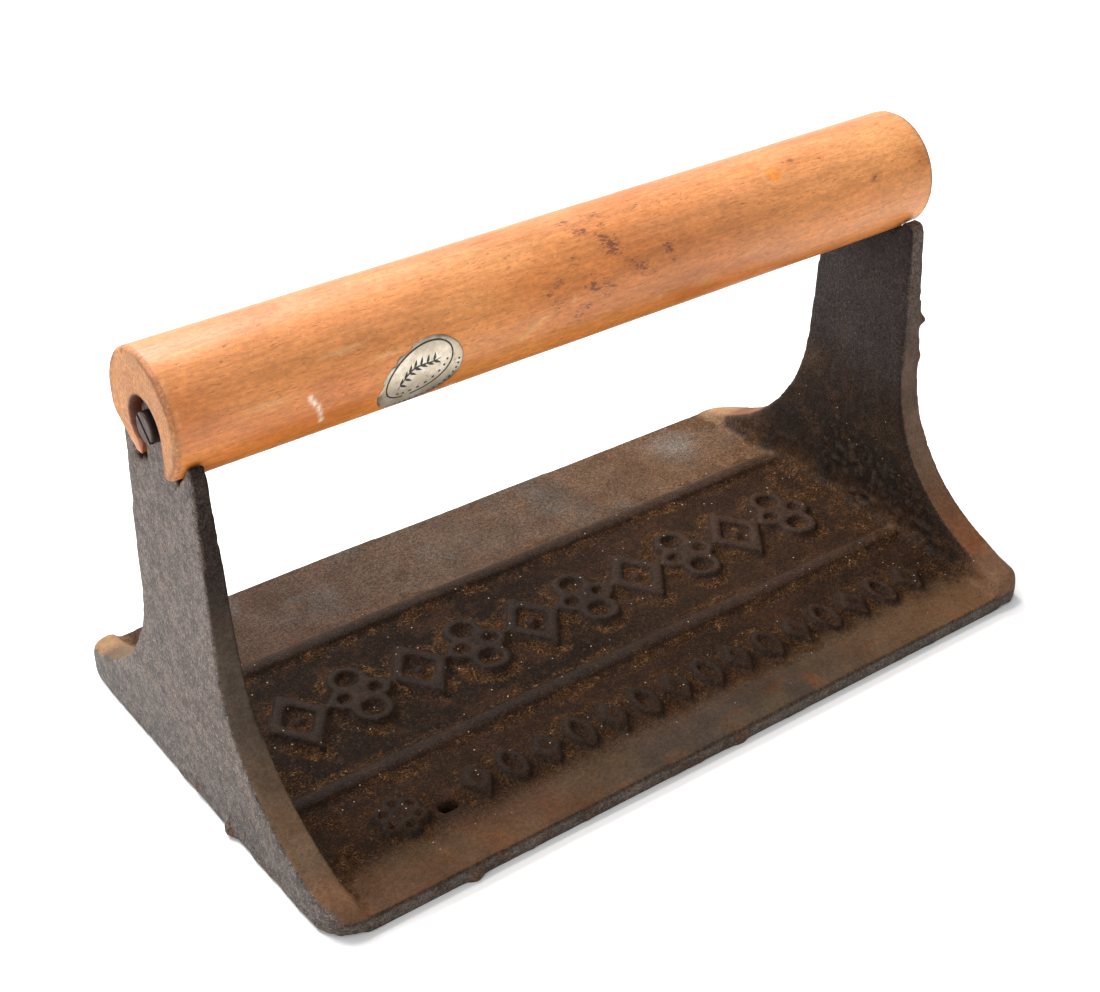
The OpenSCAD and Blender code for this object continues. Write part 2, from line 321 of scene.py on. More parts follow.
def varnished_wood():
    m = Paint("varnished_beech")
    tint = m.attribute("tint", "Color")
    stain = m.attribute("stain")
    along = m.stretched((0.035, 1, 1))
    band = m.noise(3.2, 3, 0.55, 0.6, along)
    streak = m.noise(0.75, 3, 0.65, vector=m.stretched((0.1, 1, 1)))
    cloud = m.noise(9, 5, 0.65, vector=m.stretched((0.6, 1, 1)))
    fine = m.noise(0.9, 3, 0.7, vector=m.stretched((0.5, 1, 1), shift=(6, 1, 2)))
    level = m.math("MULTIPLY",
                   m.math("MULTIPLY", m.ramp(band, 0.3, 0.7, 0.93, 1.06),
                          m.ramp(fine, 0.3, 0.7, 0.86, 1.12)),
                   m.math("MULTIPLY", m.ramp(streak, 0.34, 0.66, 0.9, 1.08),
                          m.ramp(cloud, 0.3, 0.7, 0.9, 1.08)))
    colour = m.gain(tint, level)
    colour = m.mix(m.ramp(m.noise(5, 3, 0.6, 0.4, m.stretched((0.12, 1, 1), shift=(0, 20, 4))),
                          0.5, 0.72, 0.0, 0.5), colour,
                   m.mix(1.0, colour, (0.93, 0.8, 0.62), "MULTIPLY"))
    # short dark pores along the grain
    pores = m.ramp(m.noise(0.36, 1, 0.5, vector=m.stretched((0.2, 1, 1))), 0.3, 0.37, 1.0, 0.0)
    colour = m.mix(m.math("MULTIPLY", pores, 0.45), colour, linear(140, 78, 38))
    # the bare ends show the grain as specks
    worn = m.attribute("worn")
    speck = m.ramp(m.noise(0.55, 3, 0.7, vector=m.stretched((1, 1, 0.6))), 0.36, 0.66, 0.78, 1.2)
    colour = m.mix(worn, colour, m.gain(colour, speck))
    # handling marks: soaked smudges, with near-black flecks in the strongest ones
    edge = m.noise(2.2, 5, 0.72, vector=m.stretched((0.55, 1, 1)))
    smudge = m.ramp(m.math("ADD", m.math("MULTIPLY", stain, 0.5), edge), 0.66, 1.05)
    colour = m.mix(m.math("MULTIPLY", smudge, 0.42), colour, linear(150, 82, 44))
    fleck_edge = m.noise(0.62, 3, 0.7, 0.4, m.stretched((0.4, 1, 1), shift=(0, 5, 8)))
    fleck = m.ramp(m.math("ADD", m.math("MULTIPLY", stain, 0.28), fleck_edge), 0.69, 0.8)
    colour = m.mix(m.math("MULTIPLY", fleck, 0.72), colour, linear(84, 46, 34))
    dots = m.ramp(m.dots(5.5, vector=m.stretched((0.6, 1, 1))), 0.035, 0.07, 1.0, 0.0)
    colour = m.mix(m.math("MULTIPLY", dots, 0.6), colour, linear(128, 66, 34))
    # hair scratches in the varnish, catching the light
    field = m.noise(7, 1, 0.5, 0.5, m.stretched((0.5, 1, 1), shift=(3, 9, 2)))
    scratch = m.ramp(m.math("ABSOLUTE", m.math("SUBTRACT", field, 0.5)), 0.0008, 0.004, 1.0, 0.0)
    scratch = m.math("MULTIPLY", scratch, m.ramp(m.noise(3, 3, 0.6), 0.6, 0.68))
    colour = m.mix(m.math("MULTIPLY", scratch, 0.35), colour, linear(250, 206, 156))
    height = m.math("ADD", m.math("MULTIPLY", streak, 0.6),
                    m.math("ADD", m.math("MULTIPLY", pores, -0.5), m.math("MULTIPLY", cloud, 0.8)))
    shine = m.math("ADD", m.ramp(cloud, 0.3, 0.7, 0.33, 0.47), m.math("MULTIPLY", worn, 0.35))
    return m.finish(Base_Color=colour, Roughness=shine, Normal=m.bump(height, 0.09, 0.7),
                    Specular_IOR_Level=0.55)


def tarnished_steel():
    m = Paint("old_steel")
    patches = m.noise(1.6, 4, 0.65)
    grain = m.noise(0.25, 3, 0.6)
    colour = m.mix(m.ramp(patches, 0.35, 0.65), linear(50, 33, 27), linear(72, 52, 43))
    colour = m.mix(m.ramp(m.noise(0.9, 4, 0.7), 0.55, 0.7, 0.0, 0.7), colour, linear(62, 38, 26))
    colour = m.gain(colour, m.ramp(grain, 0.3, 0.7, 0.8, 1.2))
    # painted shade darkens all but the outermost face of a head, where it sits down in the slot
    x = m.node("SeparateXYZ", {}, {0: m.mm})
    colour = m.gain(colour, m.ramp(m.math("ABSOLUTE", x), 112.5, 113.2, 0.25, 0.75))
    return m.finish(Base_Color=colour, Metallic=0.15, Normal=m.bump(grain, 0.04, 0.8),
                    Specular_IOR_Level=0.25,
                    Roughness=m.ramp(patches, 0.3, 0.7, 0.42, 0.66))


def aged_foil():
    m = Paint("foil")
    age = m.noise(4.5, 4, 0.65)
    blotch = m.noise(1.6, 4, 0.6)
    colour = m.mix(m.ramp(age, 0.35, 0.65), linear(228, 217, 200), linear(200, 186, 162))
    colour = m.mix(m.ramp(blotch, 0.56, 0.7, 0.0, 0.45), colour, linear(140, 118, 92))
    # grime along the edge and painted shade on the lower part both darken the foil
    colour = m.mix(m.attribute("grime_and_shade"), colour, linear(96, 84, 66))
    crease = m.noise(1.3, 3, 0.55, 0.8)
    return m.finish(Base_Color=colour, Metallic=0.62, Normal=m.bump(crease, 0.1, 0.55),
                    Roughness=m.ramp(blotch, 0.3, 0.7, 0.3, 0.5))


def label_ink():
    m = Paint("label_ink")
    worn = m.noise(0.5, 3, 0.6)
    colour = m.mix(m.ramp(worn, 0.55, 0.75), linear(44, 44, 44), linear(110, 106, 98))
    return m.finish(Base_Color=colour, Roughness=0.5, Metallic=0.2)


def white_floor():
    m = Paint("studio_floor")
    tone = m.ramp(m.noise(180, 2, 0.5), 0.3, 0.7)
    return m.finish(Base_Color=m.mix(tone, (0.95, 0.95, 0.95), (0.97, 0.97, 0.97)), Roughness=0.9,
                    Specular_IOR_Level=0.1)


# ---------------------------------------------------------------- the casting

IRON_VOXEL = 0.72
PLATE_TOP = 4.5
NEAR_RIB_Y = -24.2
FAR_RIB_Y, FAR_SLOPE = 29.3, 0.0117  # the far rib nears the middle as x grows
NUBS = [  # lumps left by the mould: place, radius, height
    ((112.4, -17.8, 69.1), 1.5, 2.0), ((112.6, -18.2, 78.0), 1.3, 0.8),
    ((112.2, -18.6, 58.0), 1.6, 0.7), ((-74.3, -65.8, 1.2), 1.8, 1.3),
    ((-112.9, -18.3, 2.2), 2.0, 1.5), ((-112.8, -1.0, 3.0), 1.5, 0.6),
    ((8.0, -65.8, 0.8), 2.2, 0.4), ((-96.0, 66.0, 1.5), 3.0, 0.9),
]
FLAW = (-68.0, -45.3)  # a blowhole in the plate
FLAW_SIZE = (2.9, 1.9)
FLAW_DEPTH = 3.1


def build_casting():
    """The press in iron: a rough, worn skin over the casting, with its relief rounded."""
    piece = voxel_copy("press_casting", "cast_iron_press", IRON_VOXEL)
    mesh = piece.data
    edges = edge_pairs(mesh)
    co = relaxed(coords(mesh), edges, 2)
    ax, ay = np.abs(co[:, 0]), np.abs(co[:, 1])
    # the relief is cast with round tops, and rounding lowers it, so it is raised again
    far_rib = FAR_RIB_Y - FAR_SLOPE * co[:, 0]
    on_rib = np.maximum(step(np.abs(co[:, 1] - far_rib), 5, 4),
                        step(np.abs(co[:, 1] - NEAR_RIB_Y), 5, 4))
    inboard = step(ax, 104, 98)
    height = np.clip(co[:, 2] - PLATE_TOP, 0, 4)
    soft = relaxed(height[:, None], edges, 5)[:, 0]
    co[:, 2] += inboard * (co[:, 2] > PLATE_TOP - 0.5) * (soft * (1.75 - 0.7 * on_rib) - height)

    # the feet and the plate's outer corners are worn rounder than the rest
    foot = step(ax, 100, 106) * step(ay, 50, 58)
    softer = relaxed(co, edges, 14)
    co = co + foot[:, None] * (softer - co)
    set_coords(mesh, co)
    n = normals(mesh)
    n = relaxed(n, edges, 2)
    n /= np.linalg.norm(n, axis=1)[:, None]
    x, y, z = co.T
    side = np.sign(x)

    outer = step(n[:, 0] * side, 0.5, 0.85) * step(ax, 100, 105)
    inward = step(-n[:, 0] * side, 0.35, 0.75) * step(ax, 92, 97)
    inner = inward * step(z, 5, 7)
    top = step(n[:, 2], 0.6, 0.9) * step(z, 9, 6) * step(z, 2.5, 3.5)
    band = step(ax, 97, 101) * step(z, 5.5, 8.5) * (1 - outer) * (1 - inward)
    low_inner = inner * step(z, 60, 40)
    base = step(z, 3.2, 0.6)

    # how deep a vertex lies below its surroundings
    around = relaxed(co, edges, 40)
    hollow = np.clip(np.sum((around - co) * n, axis=1) / 0.35, -1, 1)

    heaps = step(rough(co, 6.5, 21), -0.05, 0.55)
    dust = top * (0.14 + 1.0 * step(hollow, 0.25, 0.8) * (0.08 + 0.92 * heaps))
    for rib_y in (FAR_RIB_Y - FAR_SLOPE * x, NEAR_RIB_Y):
        dust += top * 0.3 * np.exp(-((y - rib_y + 4.5) / 2.0) ** 2) * heaps
    dust += top * step(ax, 88, 97) * heaps * 0.8
    dust *= step(np.abs(y - 3), 74, 50) * (1 - 0.55 * step(y, 30, 36))
    dust += low_inner * (0.09 + 0.1 * heaps) + inward * step(z, 9, 6) * 0.4 * heaps
    dust = np.clip(dust, 0, 1)

    move = 0.13 * lumps(co, 24, 3) * step(z, 0.5, 4)
    move += 0.05 * rough(co, 1.7, 5, 2) * (1 - 0.4 * outer)
    calm = step(-hollow, 0.5, 0.1)
    crumbs = 0.75 * step(lumps(co, 2.3, 11), 0.05, 0.8) + 0.9 * step(lumps(co, 1.5, 13), 0.1, 0.8)
    coarse = 0.35 + 0.65 * step(rough(co, 20, 19), -0.1, 0.5)
    crust = low_inner * calm * coarse
    move += crust * (0.7 * crumbs + 0.15 * rough(co, 6, 17))
    move += band * step(z, 30, 45) * 0.08 * rough(co, 2.1, 23, 2)
    move += dust * (0.16 + 0.34 * rough(co, 2.0, 29))
    # flash and dribbles of iron along the bottom edges
    rim = base * step(np.abs(n[:, 2]), 0.8, 0.3)
    move += rim * 0.28 * step(rough(co * (1, 1, 0.4), 3.6, 31), 0.1, 0.9)
    move += 0.16 * outer * step(z, 9, 1) * rough(co, 3.0, 37)
    # chipped arrises
    arris = step(-hollow, 0.35, 0.9) * (1 - dust)
    move -= arris * 0.12 * step(rough(co, 4.2, 41), 0.35, 0.9) * step(ax, 95, 99)
    for place, radius, height in NUBS:
        d = np.linalg.norm(co - np.array(place), axis=1) / radius
        move += height * np.exp(-(d ** 2) * 0.9) * (1 + 0.25 * lumps(co, 1.2, 43))
    co = co + n * move[:, None]

    hole = np.hypot((co[:, 0] - FLAW[0]) / FLAW_SIZE[0], (co[:, 1] - FLAW[1]) / FLAW_SIZE[1])
    hole += 0.22 * lumps(co, 2.2, 47)
    pit = step(hole, 1.0, 0.55) * (co[:, 2] > 2.5)
    co[:, 2] -= FLAW_DEPTH * pit
    co[:, 2] = np.where(co[:, 2] < 0.3, 0, co[:, 2])
    set_coords(mesh, co)

    paint_casting(mesh, co, n, dict(outer=outer, inner=inner, low_inner=low_inner, band=band,
                                    top=top, hollow=hollow, dust=dust, pit=pit, crust=crust,
                                    crumbs=crumbs))
    flatten_bottom(mesh)
    mesh.materials.append(rusted_iron())
    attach(piece, "root")
    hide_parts("press_casting")


def paint_casting(mesh, co, n, part):
    """Colours the casting one coat over another; part holds its masks from 0 to 1."""
    x, y, z = co.T
    cloud = rough(co, 16, 61)
    patch = rough(co, 6, 67)
    tint = np.tile(linear(46, 35, 28), (len(co), 1))

    def coat(mask, *srgb):
        nonlocal tint
        tint = over(tint, mask, linear(*srgb))

    # the plate: darkest between the ribs, dusty brown on the margins
    top = part["top"]
    between = step(y, 30, 26) * step(y, -27, -23)
    coat(top, 33, 22, 15)
    coat(top * between * step(x, 40, -10), 11, 8, 6)
    coat(top * between * step(x, 40, 100) * 0.5, 34, 22, 15)
    margin = step(y + FAR_SLOPE * x, 29, 33)
    coat(top * margin, 66, 51, 42)
    coat(top * margin * step(x, -70, 0), 78, 63, 52)
    coat(top * margin * step(x, 0, 95), 91, 68, 50)
    coat(top * margin * step(cloud, 0.15, 0.7) * (0.6 - 0.35 * step(x, 40, 70)), 72, 66, 61)
    coat(top * margin * blob(co, (83, 53, 4.5), (8, 7, 9)) * 0.8, 108, 100, 92)
    near = step(y, -47, -57)
    coat(top * near, 87, 64, 47)
    coat(top * near * step(x, -60, -10), 69, 58, 49)
    coat(top * near * step(x, 20, 95), 98, 72, 50)
    coat(top * near * step(patch, 0.1, 0.8) * step(y, -54, -61) * (0.45 + 0.35 * step(x, -10, 40)),
         108, 73, 47)
    coat(top * near * step(-cloud, 0.1, 0.8) * 0.5, 84, 70, 50)
    coat(top * step(patch, 0.2, 0.8) * 0.3, 62, 38, 26)

    # the uprights: grey outside, sooty inside, brown along the edges
    coat(part["inner"], 53, 46, 44)
    coat(part["inner"] * step(z, 78, 92), 46, 39, 37)
    coat(part["low_inner"], 42, 34, 29)
    coat(part["inner"] * step(y, 26, 42) * step(z, 34, 20) * step(x, -50, 50), 70, 54, 43)
    coat(part["inner"] * blob(co, (106, 22, 44), (9, 10, 6)) * 0.6, 78, 60, 47)
    coat(part["crust"] * (1 - step(part["crumbs"], 0.0, 0.5)) * 0.7, 22, 18, 16)
    coat(part["crust"] * step(part["crumbs"], 0.3, 1.1) * 0.4, 64, 52, 44)
    coat(part["low_inner"] * step(z, 16, 8) * step(patch, -0.4, 0.4), 60, 42, 29)
    coat(part["inner"] * step(cloud, 0.2, 0.9) * step(z, 60, 30) * 0.25, 66, 52, 42)
    band = part["band"]
    # painted light: the right upright's edge band is painted brighter, as if lit from the front, and
    # rusty orange at its foot
    right_lit_and_rusty = step(x, -40, 40)
    coat(band, 49, 41, 37)
    coat(band * step(z, 76, 50), 77, 66, 57)
    coat(band * right_lit_and_rusty, 90, 78, 71)
    coat(band * step(z, 80, 40) * right_lit_and_rusty, 106, 85, 71)
    coat(band * step(cloud, -0.1, 0.5) * 0.4, 58, 52, 45)
    coat(band * step(z, 40, 14), 99, 79, 62)
    coat(band * step(z, 30, 8) * right_lit_and_rusty, 118, 75, 50)
    coat(band * step(z, 24, 10) * step(patch, -0.3, 0.5) * 0.4, 108, 76, 52)
    outer = part["outer"]
    coat(outer, 84, 72, 65)
    coat(outer * step(cloud, 0.0, 0.7) * 0.6, 80, 66, 58)
    coat(outer * step(z, 26, 6) * 0.7, 76, 69, 65)

    # the feet are bright with dry rust, the far ones most
    foot = step(np.abs(x), 99, 104) * step(np.abs(y), 50, 57) * step(z, 3.6, 5)
    foot *= 1 - outer
    coat(foot * 0.8, 104, 74, 53)
    coat(foot * step(x, 0, 50) * 0.8, 110, 82, 63)
    coat(foot * step(y, 40, 50), 128, 101, 74)
    coat(foot * step(y, 40, 50) * step(x, 0, 90), 126, 98, 76)
    coat(foot * step(y, 40, 50) * step(x, 103, 105.5), 150, 114, 85)
    edge = step(z, 4.4, 3.2) * step(np.abs(n[:, 2]), 0.75, 0.3)
    coat(edge * (1 - outer), 80, 71, 64)
    coat(edge * step(patch, 0.1, 0.7) * 0.6, 66, 48, 34)

    # tops of the relief and the ribs are rubbed, grey on the left and brown on the right,
    # and the hollows hold brown grit
    rubbed = step(-part["hollow"], 0.1, 0.8) * top * step(np.abs(y), 50, 44)
    coat(rubbed * 0.6, 35, 27, 23)
    coat(rubbed * step(x, 0, 80) * 0.5, 60, 43, 32)
    coat(part["dust"] * 0.45, 56, 38, 25)
    coat(part["pit"], 10, 8, 7)
    for place, radius, _ in NUBS:
        near_nub = step(np.linalg.norm(co - np.array(place), axis=1), 1.5 * radius, radius)
        coat(near_nub * 0.6, 86, 58, 38)
    under = step(n[:, 2], -0.6, -0.9)
    coat(under, 42, 37, 34)
    set_colour(mesh, "tint", tint)
    set_mask(mesh, "dust", part["dust"])
    set_mask(mesh, "bare", np.maximum(outer, np.maximum(0.35 * edge, 0.14 * part["inner"])))
    set_mask(mesh, "rubbed", rubbed)
    set_mask(mesh, "worn", np.maximum(np.maximum(band * step(z, 90, 50), foot), top * near * 0.8))


def flatten_bottom(mesh):
    """Puts one flat face in place of the thousands of squares of the pressing face."""
    bm = bmesh.new()
    bm.from_mesh(mesh)
    low = [v.co.z < 1e-6 for v in bm.verts]
    bm.verts.index_update()
    flat = [f for f in bm.faces if all(low[v.index] for v in f.verts)]
    bmesh.ops.delete(bm, geom=flat, context="FACES")
    loose = [v for v in bm.verts if not v.link_faces]
    bmesh.ops.delete(bm, geom=loose, context="VERTS")
    rims = [e for e in bm.edges if e.is_boundary]
    made = bmesh.ops.holes_fill(bm, edges=rims, sides=0)
    for face in made["faces"]:
        face.smooth = False
    bmesh.ops.recalc_face_normals(bm, faces=bm.faces)
    bm.to_mesh(mesh)
    bm.free()


# ---------------------------------------------------------------- the handle

WOOD_VOXEL = 0.6
AXIS_Z = 108.15
DOWEL_R = 16.0
DOWEL_END = 113.5
SLOT_Y, SLOT_TOP_Z = -1.4, 105.9  # the centre of a slot's round top
SLOT_R = 7.5
STAINS = [  # along the dowel, degrees up from its front, size along and round, strength
    (-1.5, 80, 5, 3, 0.9), (0.5, 66, 4, 3.5, 1.0), (7, 78, 5, 3, 0.7), (7, 64, 3, 2.5, 0.8),
    (5.5, 54, 5, 5, 0.75), (6.5, 44, 6, 6, 0.95), (7, 36, 3.5, 3, 0.8), (-5, 41, 6, 4, 0.55),
    (22, 27, 3, 4.5, 0.95), (23, 17, 2.5, 3, 0.8), (10, 24, 6, 3, 0.8), (13, 18, 6, 4, 0.9),
    (16.5, 10, 3, 3, 0.8), (-3.5, 25, 1.6, 1.6, 1.0), (-2, 14, 5, 4.5, 0.85), (3, 12, 5, 5, 0.75),
    (-11.7, 26, 3, 3, 0.85), (-13.8, 21, 4, 4, 0.75), (-12.5, 11, 4, 5, 0.65),
    (-5, -3, 4, 5, 0.75), (-6.5, -9, 4, 4, 0.7), (-8.5, -14, 5, 3, 0.6), (-13.7, -16, 2, 1.6, 0.9),
    (-16.7, -8, 3, 2, 0.6), (17, 72, 12, 2.5, 0.6), (29, 72, 12, 2.5, 0.55), (48, 44, 4, 3, 0.6),
    (-22, 62, 8, 3, 0.45), (78, 62, 2.5, 1.5, 0.7), (96, 40, 2.5, 3, 0.6), (92, 28, 2.5, 3, 0.65),
    (-41, 44, 2.5, 2, 0.4), (-95, 20, 5, 3, 0.4), (-64, 60, 8, 3, 0.3), (-102, 5, 4, 3, 0.4),
]


def from_slot(co):
    """How far each point is from the middle of a slot, seen along the dowel."""
    return np.hypot(co[:, 1] - SLOT_Y, np.maximum(co[:, 2] - SLOT_TOP_Z, 0))


def build_handle():
    """The handle in wood: a dowel with dents, sawn slots and worn ends."""
    piece = voxel_copy("handle", "wooden_dowel", WOOD_VOXEL)
    mesh = piece.data
    co = coords(mesh)
    edges = edge_pairs(mesh)
    even = relaxed(co, edges, 2, 0.4)
    x = co[:, 0]
    co = co + step(np.abs(x), DOWEL_END - 1.6, DOWEL_END - 2.6)[:, None] * (even - co)
    r = np.hypot(co[:, 1], co[:, 2] - AXIS_Z)
    skin = step(r, DOWEL_R - 0.9, DOWEL_R - 0.35) * step(np.abs(x), DOWEL_END - 1.0, DOWEL_END - 1.8)
    radius = r + skin * (DOWEL_R - 0.03 - r)
    end = step(np.abs(x), DOWEL_END - 5, DOWEL_END - 0.5)
    dents = 0.05 * lumps(co, 22, 71) + 0.025 * rough(co * (0.4, 1, 1), 5, 73, 2)
    dents -= 0.1 * step(rough(co, 6.5, 79), 0.75, 1.2)
    dents -= 0.16 * end * step(rough(co, 4, 83), 0.3, 1.0)
    radius += dents * step(r, DOWEL_R - 2.5, DOWEL_R - 0.8)
    grow = radius / np.maximum(r, 1e-6)
    co[:, 1] *= grow
    co[:, 2] = AXIS_Z + (co[:, 2] - AXIS_Z) * grow

    # the slots were sawn by hand: their walls waver and their rims are splintered
    in_slot = (step(np.abs(x), DOWEL_END - 8.6, DOWEL_END - 8.2) * step(r, DOWEL_R - 0.6, DOWEL_R - 1.4)
               * step(from_slot(co), SLOT_R + 1.1, SLOT_R + 0.5))
    ragged = in_slot * step(co[:, 2], 104, 100)
    co[:, 1] += (0.1 * in_slot + 0.3 * ragged) * rough(co * (0.5, 1, 1), 1.9, 89)
    # the tips of the four legs are worn short, the far left one also from its end
    worn_back = step(x, -110, -112) * step(co[:, 1], 2, 4.5) * step(co[:, 2], 105, 96.5)
    co[:, 0] += worn_back * (0.45 * (-110.5 - x) + 0.15 * lumps(co, 1.6, 91))
    tip = np.where(co[:, 1] < 0, 97.0, 95.6) + 0.35 * lumps(co, 2, 93)
    short = step(np.abs(x), 109, 111) * (co[:, 2] < tip)
    co[:, 2] += short * 0.85 * (tip - co[:, 2])
    face = step(np.abs(x), DOWEL_END - 0.7, DOWEL_END - 0.3)
    co[:, 0] -= np.sign(x) * face * (0.05 + 0.05 * rough(co, 3.5, 97))
    set_coords(mesh, co)
    paint_handle(mesh, co)
    mesh.materials.append(varnished_wood())
    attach(piece, "root")
    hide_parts("handle")


def paint_handle(mesh, co):
    """Colours the dowel: its tone, then its marks, then its ends and slots."""
    x = co[:, 0]
    r = np.hypot(co[:, 1], co[:, 2] - AXIS_Z)
    up = np.degrees(np.arctan2(co[:, 2] - AXIS_Z, -co[:, 1]))
    cloud = rough(co * (0.35, 1, 1), 13, 101)
    tint = np.tile(linear(232, 158, 100), (len(co), 1))

    def coat(mask, *srgb):
        nonlocal tint
        tint = over(tint, mask, linear(*srgb))

    coat(step(cloud, 0.0, 0.8) * 0.7, 222, 140, 80)
    coat(step(-cloud, 0.1, 0.8) * 0.6, 242, 176, 122)
    grip = np.exp(-((x - 10) / 55) ** 2)
    coat(0.3 * grip * step(up, 120, 60) * step(up, -60, 20), 212, 132, 76)
    arc = np.radians(up) * DOWEL_R

    def mark(px, angle, along, round_it):
        """1 at a spot on the dowel, falling to 0 over the two sizes."""
        d = ((x - px) / along) ** 2 + ((arc - math.radians(angle) * DOWEL_R) / round_it) ** 2
        return np.exp(-d)

    stain = np.zeros(len(co))
    for px, angle, along, round_it, strength in STAINS:
        stain = np.maximum(stain, strength * mark(px, angle, along * 0.62, round_it * 0.62))
    # a small orange knot with a pale rim, and one hard dark speck
    knot = ((x - 61.7) / 2.7) ** 2 + ((arc - math.radians(61) * DOWEL_R) / 2.4) ** 2
    coat(np.exp(-((knot - 1.6) / 0.6) ** 2) * 0.35, 250, 196, 146)
    coat(step(knot, 1.0, 0.7) * 0.95, 255, 152, 24)
    coat(np.clip(mark(69.5, 70, 0.9, 0.6) * 2, 0, 1), 60, 34, 26)
    # pale scratches, and patches rubbed thin
    for spot in ((-90, 8, 5, 0.6), (-70, 30, 5, 0.6), (-60, 16, 4, 0.6), (-23, -11, 1.6, 0.7),
                 (-21, -6, 1.6, 0.7), (-18.8, -2, 1.6, 0.7), (-16.8, 2, 1.4, 0.6),
                 (-7.8, 9, 0.5, 1.2), (19, -18, 1.2, 0.5), (48.5, -5, 2.6, 0.5),
                 (51, -1, 1.8, 0.5), (34, -17, 3.5, 1.2)):
        coat(mark(*spot) * 0.6, 250, 210, 168)
    for spot in ((40, 8, 16, 4), (14, -12, 10, 3), (-100, -8, 5, 5)):
        coat(mark(*spot) * 0.35, 226, 158, 120)
    # the end faces, with a dirty rim and a pale lip round them; the lip is a worn line with a painted
    # highlight on the rounded edge
    ends = step(np.abs(x), DOWEL_END - 1.9, DOWEL_END - 0.8)
    from_end = DOWEL_END - np.abs(x)
    rim = np.exp(-((from_end - 0.9) / 0.4) ** 2) * step(rough(co, 2.5, 105), -0.8, 0.4)
    coat(rim * 0.7, 178, 100, 56)
    lip = np.exp(-((from_end - 1.9) / 0.6) ** 2) * step(rough(co, 2.8, 107), 0.0, 0.8)
    coat(lip * 0.6, 250, 196, 158)
    coat(step(x, 20, 60) * 0.4, 236, 166, 112)
    # the varnish has yellowed; painted shade makes the underside darker and more orange
    tint *= 0.7 * np.array([1.1, 1.0, 0.86])
    tint *= 1 - step(up, 65, -25)[:, None] * np.array([0.03, 0.17, 0.5])
    worn_pale = step(x, 35, 85) * np.exp(-((up - 40) / 30) ** 2)
    tint *= 1 + worn_pale[:, None] * np.array([0.12, 0.14, 0.1])
    for px, angle, along, round_it, shade in (
            (-26, 30, 22, 6, (1.12, 1.14, 1.05)), (-5, 42, 12, 5, (1.06, 1.1, 1.08)),
            (22, -8, 26, 5, (0.84, 0.84, 0.8)), (40, 26, 16, 5, (0.93, 0.9, 0.84)),
            (-18, 74, 24, 6, (0.97, 1.12, 1.14)), (-78, 84, 26, 6, (0.97, 0.84, 0.8)),
            (104, 46, 12, 7, (1.06, 1.14, 1.14)), (111, 33, 4, 4, (0.72, 0.64, 0.5))):
        tint *= 1 + mark(px, angle, along, round_it)[:, None] * (np.array(shade) - 1)
    # one white scrape across the grain
    for px, angle in ((-80.3, 1), (-79.4, -4), (-78.4, -10), (-77.9, -17), (-77.5, -24)):
        coat(np.clip(1.6 * mark(px, angle, 0.5, 0.8), 0, 1) * 0.8, 250, 226, 200)
    # painted highlight tone: the top of the dowel is made a little darker and cooler
    tint *= 1 - step(up, 60, 105)[:, None] * np.array([0.08, 0.12, -0.02])
    # painted shade: the back of the dowel is darkened
    tint *= 1 - step(np.abs(up), 115, 155)[:, None] * np.array([0.22, 0.26, 0.3])
    grainy = step(rough(co * (1, 1, 0.5), 3, 103), -0.3, 0.9)
    coat(ends * (1 - 0.7 * rim), 172, 118, 71)
    coat(ends * grainy * 0.5, 166, 104, 62)
    ring = np.exp(-((r - 15.1) / 0.5) ** 2) * step(np.abs(x), DOWEL_END - 1.0, DOWEL_END - 0.5)
    coat(ring * step(rough(co, 4, 111), -0.9, 0.3) * 0.8, 104, 56, 30)
    # the slot walls: dark stain with painted shade inside the slot, paler low down
    slot = step(np.abs(x), 104.4, 105.4) * step(from_slot(co), SLOT_R + 0.7, SLOT_R + 0.1)
    coat(slot, 84, 40, 20)
    coat(slot * step(co[:, 2], 104, 97), 142, 78, 42)
    set_colour(mesh, "tint", tint)
    set_mask(mesh, "stain", stain)
    set_mask(mesh, "worn", ends)


# ---------------------------------------------------------------- label and screws

LABEL_X, LABEL_ARC, LABEL_TILT = -51.45, -3.98, math.radians(24)
LABEL_LONG, LABEL_SHORT = 11.9, 9.0  # half of the oval's length and height
FOIL_LIFT, INK_BACK, INK_FACE = 0.13, 0.12, 0.165


def on_dowel(u, v, lift):
    """A point of the label, u and v along its long and short axes, lifted off the dowel."""
    along = LABEL_X + u * math.cos(LABEL_TILT) - v * math.sin(LABEL_TILT)
    arc = (LABEL_ARC + u * math.sin(LABEL_TILT) + v * math.cos(LABEL_TILT)) / DOWEL_R
    r = DOWEL_R + lift
    return np.stack([along, -r * np.cos(arc), AXIS_Z + r * np.sin(arc)], -1)


